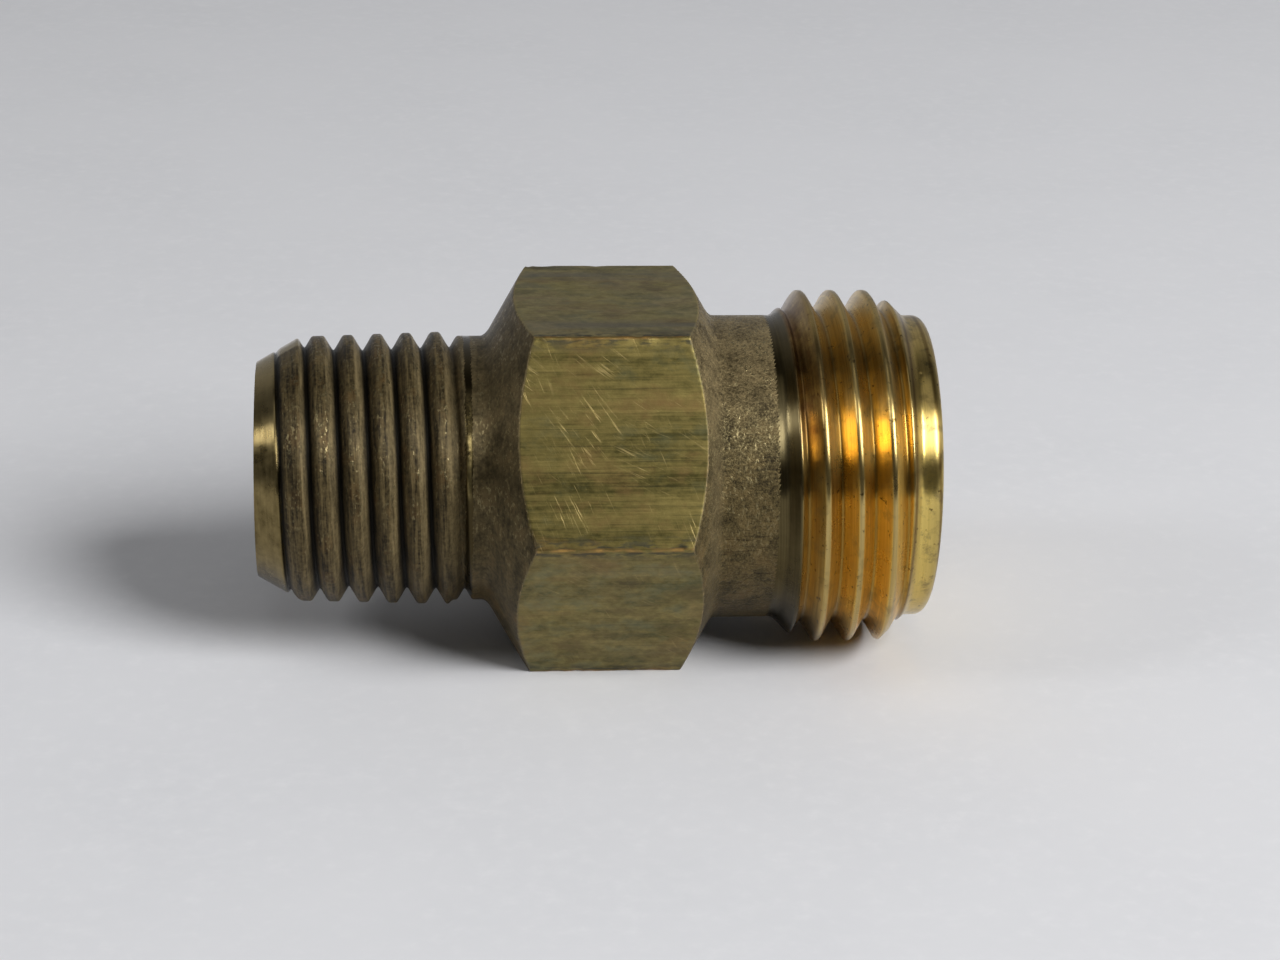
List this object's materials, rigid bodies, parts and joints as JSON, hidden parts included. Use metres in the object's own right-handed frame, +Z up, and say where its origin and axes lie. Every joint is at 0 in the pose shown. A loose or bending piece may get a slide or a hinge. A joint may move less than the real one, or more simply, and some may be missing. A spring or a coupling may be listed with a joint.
{
  "type": "union fitting",
  "caption": "Brass hexagon fitting body with a male taper pipe thread, a male straight coupling thread and a pull-out strainer in its outlet bore.",
  "frame": {"origin": "on the flow axis, half way between the inlet face and the outlet face", "axes": "+X along the flow axis towards the straight thread, +Z up and square to a hexagon flat"},
  "size_m": [0.0326, 0.0202, 0.0174],
  "materials": {
    "aged_brass": "dull olive-brown patina, bright on the straight thread and nose",
    "turned_brass": "clean turned brass",
    "steel_mesh": "woven stainless wire",
    "gasket_rubber": "matte black"
  },
  "bodies": {
    "body": {"fitting_body": "aged_brass"},
    "strainer": {"strainer_barrel": "turned_brass", "strainer_screen": "steel_mesh", "strainer_end_plug": "turned_brass", "seat_gasket": "gasket_rubber"}
  },
  "joints": [
    {"name": "strainer_pull", "type": "slide", "parent": "body", "child": "strainer", "axis": [1, 0, 0], "range_m": [0, 0.024]}
  ]
}
